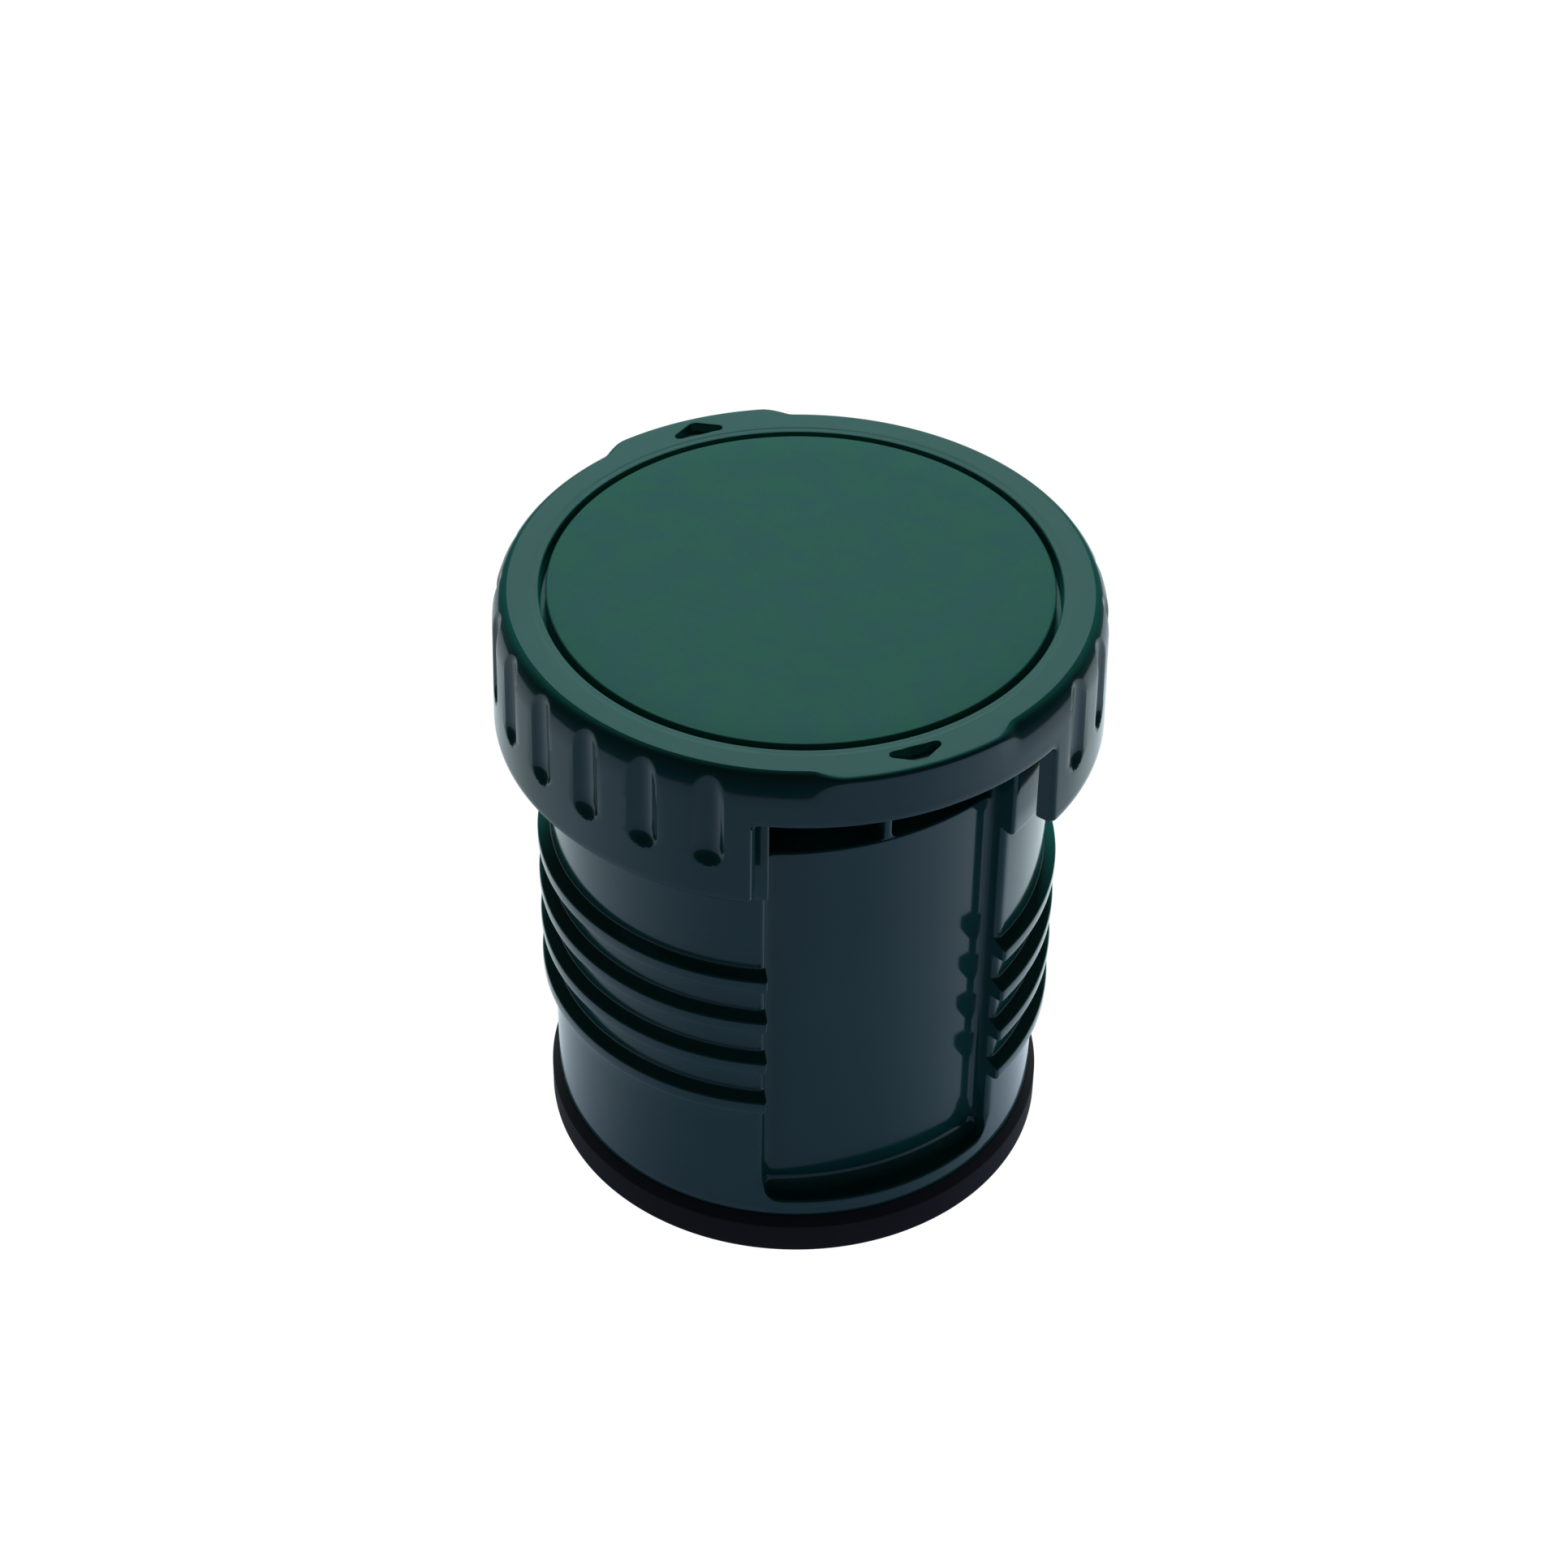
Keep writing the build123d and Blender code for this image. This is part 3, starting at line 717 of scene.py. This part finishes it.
            side_faces.append(inner[:, None] + (outer - inner)[:, None] * across[None, :, None])
    for half in (0, 1):
        turn = front + half * np.pi
        to_side = (s.notch_angle - np.abs(front)) * s.skirt_radius
        lowest = notch_top - drop(to_side, s.notch_corner)
        above = lowest + (shoulder - lowest) * share_up[:, None]
        fall = drop(above - lowest, s.edge) * (1 - drop(to_side, s.notch_corner) / s.notch_corner)
        side_fall = drop(0, s.edge) * (to_side <= 0) * (1 - smooth((above - meet) / (1.2 * MM)))
        skin_above = ring_points(outside(turn, above) - np.maximum(fall, side_fall), turn[None, :], above)
        lining_z = roof + (lowest - roof) * (1 - share_up[::-1, None])
        lining_above = ring_points(s.skirt_inner, turn[None, :], lining_z)
        roof_face = lining_above[-1][None] + (skin_above[0] - lining_above[-1])[None] * across[1:-1, None, None]
        ceiling = ring_points(np.array([[0.0], [0.4], [0.8]]) * s.skirt_inner, turn[None, :], roof)
        grids.append(np.concatenate([ceiling, lining_above, roof_face, skin_above] + upper(turn, 40)))
    return grids + side_faces


# Finishes

def new_material(name):
    """A material with a Principled shader, and its node tree."""
    material = bpy.data.materials.new(name)
    material.use_nodes = True
    tree = material.node_tree
    tree.nodes.clear()
    output = tree.nodes.new("ShaderNodeOutputMaterial")
    shader = tree.nodes.new("ShaderNodeBsdfPrincipled")
    tree.links.new(shader.outputs["BSDF"], output.inputs["Surface"])
    return material, tree, shader


def noise(tree, scale, detail=2.0, roughness=0.5, stretch=None):
    """A noise on the object's own coordinates, stretched where asked."""
    place = tree.nodes.new("ShaderNodeTexCoord")
    texture = tree.nodes.new("ShaderNodeTexNoise")
    texture.inputs["Scale"].default_value = scale
    texture.inputs["Detail"].default_value = detail
    texture.inputs["Roughness"].default_value = roughness
    source = place.outputs["Object"]
    if stretch:
        mapping = tree.nodes.new("ShaderNodeMapping")
        mapping.inputs["Scale"].default_value = stretch
        tree.links.new(source, mapping.inputs["Vector"])
        source = mapping.outputs["Vector"]
    tree.links.new(source, texture.inputs["Vector"])
    return texture.outputs["Fac"]


def spread(tree, source, low, high, to_low, to_high, kind="LINEAR"):
    """Maps a range of a value to another range, held at its ends."""
    node = tree.nodes.new("ShaderNodeMapRange")
    node.interpolation_type = kind
    for name, value in (("From Min", low), ("From Max", high), ("To Min", to_low), ("To Max", to_high)):
        node.inputs[name].default_value = value
    tree.links.new(source, node.inputs["Value"])
    return node.outputs["Result"]


def combine(tree, operation, first, second):
    """Math on two values, each a socket or a number."""
    node = tree.nodes.new("ShaderNodeMath")
    node.operation = operation
    for socket, value in zip(node.inputs, (first, second)):
        if isinstance(value, (int, float)):
            socket.default_value = value
        else:
            tree.links.new(value, socket)
    return node.outputs["Value"]


def vector_math(tree, operation, source, other=None):
    """Vector math on a socket, with a plain vector beside it where the operation takes one."""
    node = tree.nodes.new("ShaderNodeVectorMath")
    node.operation = operation
    tree.links.new(source, node.inputs[0])
    if other is not None:
        node.inputs[1].default_value = other
    return node.outputs["Vector" if operation == "NORMALIZE" else "Value"]


def tint(tree, share, first, second):
    """A colour between two colours by a share."""
    node = tree.nodes.new("ShaderNodeMix")
    node.data_type = "RGBA"
    node.inputs["A"].default_value = (*first, 1)
    node.inputs["B"].default_value = (*second, 1)
    tree.links.new(share, node.inputs["Factor"])
    return node.outputs["Result"]


def raise_surface(tree, shader, source, depth, strength):
    """Bumps the surface by a value times a depth."""
    bump = tree.nodes.new("ShaderNodeBump")
    bump.inputs["Distance"].default_value = depth
    bump.inputs["Strength"].default_value = strength
    tree.links.new(source, bump.inputs["Height"])
    tree.links.new(bump.outputs["Normal"], shader.inputs["Normal"])


def polished_green(settings):
    """Polished moulded plastic: a faint ripple, uneven gloss and a few fine rubs."""
    material, tree, shader = new_material("polished_green_plastic")
    base = tuple(settings.green)
    deep = tuple(c * 0.82 for c in base)
    light = tuple(c * 1.12 for c in base)
    tree.links.new(tint(tree, noise(tree, 60, 3), deep, light), shader.inputs["Base Color"])
    wear = spread(tree, noise(tree, 140, 4, 0.6), 0.35, 0.75, 0.0, 0.05)
    rubs = spread(tree, noise(tree, 900, 2, 0.5, (1, 1, 0.15)), 0.66, 0.75, 0.0, 0.06)
    gloss = combine(tree, "ADD", combine(tree, "ADD", wear, rubs), settings.green_roughness)
    tree.links.new(gloss, shader.inputs["Roughness"])
    shader.inputs["IOR"].default_value = 1.49
    shader.inputs["Specular IOR Level"].default_value = 0.5
    raise_surface(tree, shader, noise(tree, 220, 2), 0.00002, 0.35)
    return material


def satin_disc(settings):
    """Fine-grained satin plastic with a soft mottle."""
    material, tree, shader = new_material("satin_disc_plastic")
    base = tuple(settings.satin)
    base = (base[0] * 0.95, base[1] * 1.05, base[2] * 0.92)
    cool = (base[0] * 1.1, base[1] * 0.9, base[2] * 1.17)
    mottle = spread(tree, noise(tree, 260, 5, 0.62), 0.42, 0.58, 0, 1)
    tree.links.new(tint(tree, mottle, base, cool), shader.inputs["Base Color"])
    grain = noise(tree, 5200, 2, 0.6)
    gloss = spread(tree, grain, 0.3, 0.7, settings.satin_roughness - 0.05, settings.satin_roughness + 0.06)
    tree.links.new(gloss, shader.inputs["Roughness"])
    shader.inputs["IOR"].default_value = 1.49
    shader.inputs["Specular IOR Level"].default_value = 0.6
    raise_surface(tree, shader, grain, 0.00002, 0.5)
    return material


def soft_silicone(settings):
    """Black silicone: smooth, a little dusty in patches."""
    material, tree, shader = new_material("black_silicone")
    base = tuple(settings.silicone)
    dusty = tuple(c * 2.2 + 0.002 for c in base)
    dust = spread(tree, noise(tree, 320, 5, 0.65), 0.5, 0.75, 0, 1)
    tree.links.new(tint(tree, dust, base, dusty), shader.inputs["Base Color"])
    gloss = spread(tree, noise(tree, 420, 3), 0.3, 0.7, settings.silicone_roughness - 0.06,
                   settings.silicone_roughness + 0.08)
    tree.links.new(gloss, shader.inputs["Roughness"])
    shader.inputs["IOR"].default_value = 1.41
    raise_surface(tree, shader, noise(tree, 2600, 2), 0.00001, 0.4)
    return material


def rigid_foam(settings):
    """Pale closed-cell foam."""
    material, tree, shader = new_material("rigid_foam")
    base = tuple(settings.foam)
    dark = tuple(c * 0.72 for c in base)
    place = tree.nodes.new("ShaderNodeTexCoord")
    cells = tree.nodes.new("ShaderNodeTexVoronoi")
    cells.inputs["Scale"].default_value = 1600
    tree.links.new(place.outputs["Object"], cells.inputs["Vector"])
    share = spread(tree, cells.outputs["Distance"], 0.0, 0.6, 0, 1)
    tree.links.new(tint(tree, share, base, dark), shader.inputs["Base Color"])
    tree.links.new(spread(tree, noise(tree, 300), 0.3, 0.7, 0.78, 0.92), shader.inputs["Roughness"])
    raise_surface(tree, shader, share, 0.0001, 0.6)
    return material


FINISHES = {
    "polished_green_plastic": polished_green,
    "satin_disc_plastic": satin_disc,
    "black_silicone": soft_silicone,
    "rigid_foam": rigid_foam,
}


def finish_of(kind):
    """The finish of that name, made the first time it is asked for."""
    return bpy.data.materials.get(kind) or FINISHES[kind](bpy.context.scene.stopper_finish)


def coat_node(name, finish):
    """Gives a CAD node a finish."""
    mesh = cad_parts[name].data
    mesh.materials.clear()
    mesh.materials.append(finish_of(finish))


# Operators

class BuildBody(bpy.types.Operator):
    """Builds the threaded body with its channels, pour gaps, ribs and collar"""

    bl_idname = "flask_stopper.body"
    bl_label = "Threaded body"

    def execute(self, context):
        add_piece("threaded_body", body_grids(context.scene.stopper_body), "polished_green_plastic",
                  "stopper_body")
        return {"FINISHED"}


class BuildCap(bpy.types.Operator):
    """Builds the grip cap with its flutes, lobes, arrows and notches"""

    bl_idname = "flask_stopper.cap"
    bl_label = "Grip cap"

    def execute(self, context):
        add_piece("fluted_cap", cap_grids(context.scene.stopper_cap), "polished_green_plastic",
                  "grip_cap", 20)
        return {"FINISHED"}


class BuildDisc(bpy.types.Operator):
    """Builds the satin disc let into the cap"""

    bl_idname = "flask_stopper.disc"
    bl_label = "Satin disc"

    def execute(self, context):
        s = context.scene.stopper_disc
        top, low = DISC_HIGH.z, DISC_LOW.z
        profile = rounded([(0, low), (s.radius, low), (s.radius, top), (0, top)], [0.15 * MM, s.edge], 6)
        ring = np.linspace(profile[-2][0], 0, 8)[1:, None]
        profile = np.concatenate([profile[:-1], np.concatenate([ring, np.full_like(ring, top)], 1)])
        add_piece("satin_disc", [revolve(profile)], "satin_disc_plastic", "top_disc")
        return {"FINISHED"}


class BuildSeal(bpy.types.Operator):
    """Builds the soft seal round the foot"""

    bl_idname = "flask_stopper.seal"
    bl_label = "Seal"

    def execute(self, context):
        s = context.scene.stopper_seal
        top = SEAL_HIGH.z
        body = context.scene.stopper_body.radius
        line = [(s.lip_radius + 1 * MM, 0), (s.radius, 0), (s.radius, top - s.shoulder), (body, top),
                (s.neck_radius, top), (s.neck_radius, s.groove_high), (s.groove_radius, s.groove_high),
                (s.groove_radius, s.groove_low), (s.lip_radius, s.groove_low), (s.lip_radius, 0),
                (s.lip_radius + 1 * MM, 0)]
        radii = [s.roll, 0.35 * MM] + [0.1 * MM] * 5 + [0.3 * MM] * 2
        add_piece("soft_seal", [revolve(rounded(line, radii, 6))], "black_silicone", "base_seal")
        return {"FINISHED"}


class FinishHidden(bpy.types.Operator):
    """Gives the base plate and the foam their finishes"""

    bl_idname = "flask_stopper.inner"
    bl_label = "Base plate and foam"

    def execute(self, context):
        coat_node("base_plate", "polished_green_plastic")
        coat_node("insulation_foam", "rigid_foam")
        return {"FINISHED"}


def soft_light(name, place, aim, size, power):
    """A rectangular light at a place, turned to its aim."""
    data = bpy.data.lights.new(name, "AREA")
    data.shape = "RECTANGLE"
    data.size, data.size_y = size
    data.energy = power
    light = bpy.data.objects.new(name, data)
    bpy.context.scene.collection.objects.link(light)
    direction = Vector(aim) - Vector(place)
    light.matrix_world = Matrix.Translation(place) @ direction.to_track_quat("-Z", "Y").to_matrix().to_4x4()
    return light


def stage_sheet(name, grid, material):
    """A sheet of the stage, which isn't part of the stopper."""
    mesh = make_mesh(name, [grid])
    if mesh.polygons[0].normal.z < 0:
        mesh.flip_normals()
    mesh.materials.append(material)
    sheet = bpy.data.objects.new(name, mesh)
    bpy.context.scene.collection.objects.link(sheet)
    return sheet


def table_with_painted_light(settings):
    """Paper that glows with painted light: brighter behind the stopper, with a painted shadow near its foot.

    The painted brightness grows with the share of each point's direction that lies away from the camera. It is a
    little more to the right than to the left. It falls in a painted shadow close to the foot, in a painted
    darker ring behind it and past the table's reach.
    """
    material, tree, shader = new_material("painted_light_table")
    place = tree.nodes.new("ShaderNodeTexCoord").outputs["Object"]
    way = vector_math(tree, "NORMALIZE", place)
    away = vector_math(tree, "DOT_PRODUCT", way, (-math.sin(settings.turn), math.cos(settings.turn), 0.0))
    right = vector_math(tree, "DOT_PRODUCT", way, (math.cos(settings.turn), math.sin(settings.turn), 0.0))
    span = vector_math(tree, "LENGTH", place)
    # painted shadow: near and front darken the table at the stopper's foot; beyond and behind paint a darker ring
    # past it
    near = spread(tree, span, 0.026, 0.085, 0.26, 0.0)
    front = spread(tree, away, -0.6, 0.1, 1.0, 0.0)
    beyond = spread(tree, span, 0.07, 0.092, 0.0, 0.4)
    behind = spread(tree, away, -0.25, 0.2, 0.0, 1.0)
    # painted light and shade: the shadow at the foot, the darker ring behind, the lit reach, a faint random mottle,
    # stronger to the right
    shares = (
        combine(tree, "SUBTRACT", 1.0, combine(tree, "MULTIPLY", near, front)),
        combine(tree, "SUBTRACT", 1.0, combine(tree, "MULTIPLY", beyond, behind)),
        spread(tree, span, settings.table_reach, settings.table_reach * 1.25, 1.0, 0.08),
        spread(tree, noise(tree, 40, 3), 0.3, 0.7, 0.985, 1.015),
        spread(tree, right, -1.0, 1.0, 0.86, 1.14),
    )
    # painted light: the table glows brighter behind the stopper than on the camera's side
    glow = spread(tree, away, -0.85, 0.4, settings.front_table, settings.back_table)
    for share in shares:
        glow = combine(tree, "MULTIPLY", glow, share)
    tree.links.new(glow, shader.inputs["Emission Strength"])
    # painted light: the glow is bluer on the camera's side and paler behind
    warmth = spread(tree, away, -0.85, 0.4, 0.0, 1.0)
    tree.links.new(tint(tree, warmth, (0.56, 0.67, 1.0), (0.79, 0.94, 1.0)), shader.inputs["Emission Color"])
    shader.inputs["Base Color"].default_value = (0.02, 0.02, 0.02, 1)
    shader.inputs["Roughness"].default_value = 0.95
    shader.inputs["Specular IOR Level"].default_value = 0.0
    return material


def lit_paper():
    """Pale paper that looks evenly lit."""
    material, _, shader = new_material("lit_paper")
    shader.inputs["Base Color"].default_value = (0, 0, 0, 1)
    shader.inputs["Specular IOR Level"].default_value = 0.0
    shader.inputs["Emission Color"].default_value = (1, 1, 1, 1)
    shader.inputs["Emission Strength"].default_value = 1.02
    return material


def studio_sky(settings):
    """A dim room with one soft round card behind: radiance is a smooth function of the angle from its middle."""
    world = bpy.data.worlds.new("studio")
    world.use_nodes = True
    tree = world.node_tree
    background = tree.nodes["Background"]
    place = tree.nodes.new("ShaderNodeTexCoord").outputs["Generated"]
    level = math.cos(settings.card_angle)
    middle = (-math.sin(settings.turn) * level, math.cos(settings.turn) * level, math.sin(settings.card_angle))
    towards = vector_math(tree, "DOT_PRODUCT", place, middle)
    glow = spread(tree, towards, 0.85, 0.965, settings.room_glow, settings.card_glow, "SMOOTHSTEP")
    background.inputs["Color"].default_value = (0.9, 0.97, 1.0, 1)
    tree.links.new(glow, background.inputs["Strength"])
    return world


class BuildStage(bpy.types.Operator):
    """Lays the floor and sets the lights, the sky and the camera"""

    bl_idname = "flask_stopper.stage"
    bl_label = "Stage"

    def execute(self, context):
        scene = context.scene
        s = scene.stopper_stage
        half = s.floor_size / 2
        steps = np.linspace(-half, half, 3)
        x, y = np.meshgrid(steps, steps)
        table = stage_sheet("table", np.stack([x, y, np.zeros_like(x)], -1), table_with_painted_light(s))
        table.visible_camera = False
        paper = lit_paper()
        floor = stage_sheet("floor", np.stack([x, y, np.full_like(x, -0.2 * MM)], -1), paper)
        lift = np.linspace(0, np.pi / 2, 17)[:, None]
        dome = ring_points(half * np.cos(lift), np.linspace(0, 2 * np.pi, 49), half * np.sin(lift))
        dome = stage_sheet("surround", dome, paper)
        for sheet in (floor, dome):
            sheet.visible_diffuse = sheet.visible_glossy = sheet.visible_transmission = False
            sheet.visible_shadow = sheet.visible_volume_scatter = False
        scene.world = studio_sky(s)
        scene.view_settings.view_transform = "Standard"

        behind = Vector((-math.sin(s.turn), math.cos(s.turn), 0))
        aim = Vector((0, 0, CAP_HIGH.z / 2))
        rise = Vector((0, 0, s.key_distance * math.sin(s.key_angle)))
        place = aim + behind * s.key_distance * math.cos(s.key_angle) + rise
        key = soft_light("overhead", place, aim, (s.key_size, s.key_size * 0.7), s.key_strength)
        key.visible_glossy = False

        camera_data = bpy.data.cameras.new("camera")
        camera_data.lens = s.lens
        camera_data.sensor_width = 36
        camera_data.clip_start = 0.01
        camera = bpy.data.objects.new("camera", camera_data)
        scene.collection.objects.link(camera)
        target = Vector((s.target_x, s.target_y, s.target_height))
        back = Vector((math.cos(s.elevation) * math.sin(s.turn), -math.cos(s.elevation) * math.cos(s.turn),
                       math.sin(s.elevation)))
        right = Vector((math.cos(s.turn), math.sin(s.turn), 0))
        up = back.cross(right)
        turned = Matrix((right, up, back)).transposed().to_4x4() @ Matrix.Rotation(s.roll, 4, "Z")
        camera.matrix_world = Matrix.Translation(target + back * s.distance) @ turned
        scene.camera = camera
        return {"FINISHED"}


class StopperPanel(bpy.types.Panel):
    """Lists the pieces of the stopper"""

    bl_idname = "VIEW3D_PT_flask_stopper"
    bl_label = "Flask Stopper"
    bl_space_type = "VIEW_3D"
    bl_region_type = "UI"
    bl_category = "Flask Stopper"

    def draw(self, context):
        for operator in OPERATORS:
            self.layout.operator(operator.bl_idname)
        for group, place in GROUPS.items():
            box = self.layout.box()
            box.label(text=group.__doc__)
            for name in group.__annotations__:
                box.prop(getattr(context.scene, place), name)


GROUPS = {
    BodySizes: "stopper_body",
    CapSizes: "stopper_cap",
    DiscSizes: "stopper_disc",
    SealSizes: "stopper_seal",
    FinishSettings: "stopper_finish",
    StageSettings: "stopper_stage",
}
OPERATORS = (BuildBody, BuildCap, BuildDisc, BuildSeal, FinishHidden, BuildStage)


def register():
    """Registers the classes and puts the settings on the scene."""
    for group, name in GROUPS.items():
        bpy.utils.register_class(group)
        setattr(bpy.types.Scene, name, bpy.props.PointerProperty(type=group))
    for item in (*OPERATORS, StopperPanel):
        bpy.utils.register_class(item)


def unregister():
    """Takes the classes and the settings away again."""
    for item in reversed((*OPERATORS, StopperPanel)):
        bpy.utils.unregister_class(item)
    for group, name in reversed(GROUPS.items()):
        delattr(bpy.types.Scene, name)
        bpy.utils.unregister_class(group)


def main():
    register()
    bpy.ops.flask_stopper.body()
    bpy.ops.flask_stopper.cap()
    bpy.ops.flask_stopper.disc()
    bpy.ops.flask_stopper.seal()
    bpy.ops.flask_stopper.inner()
    bpy.ops.flask_stopper.stage()


if __name__ == "__main__":
    main()
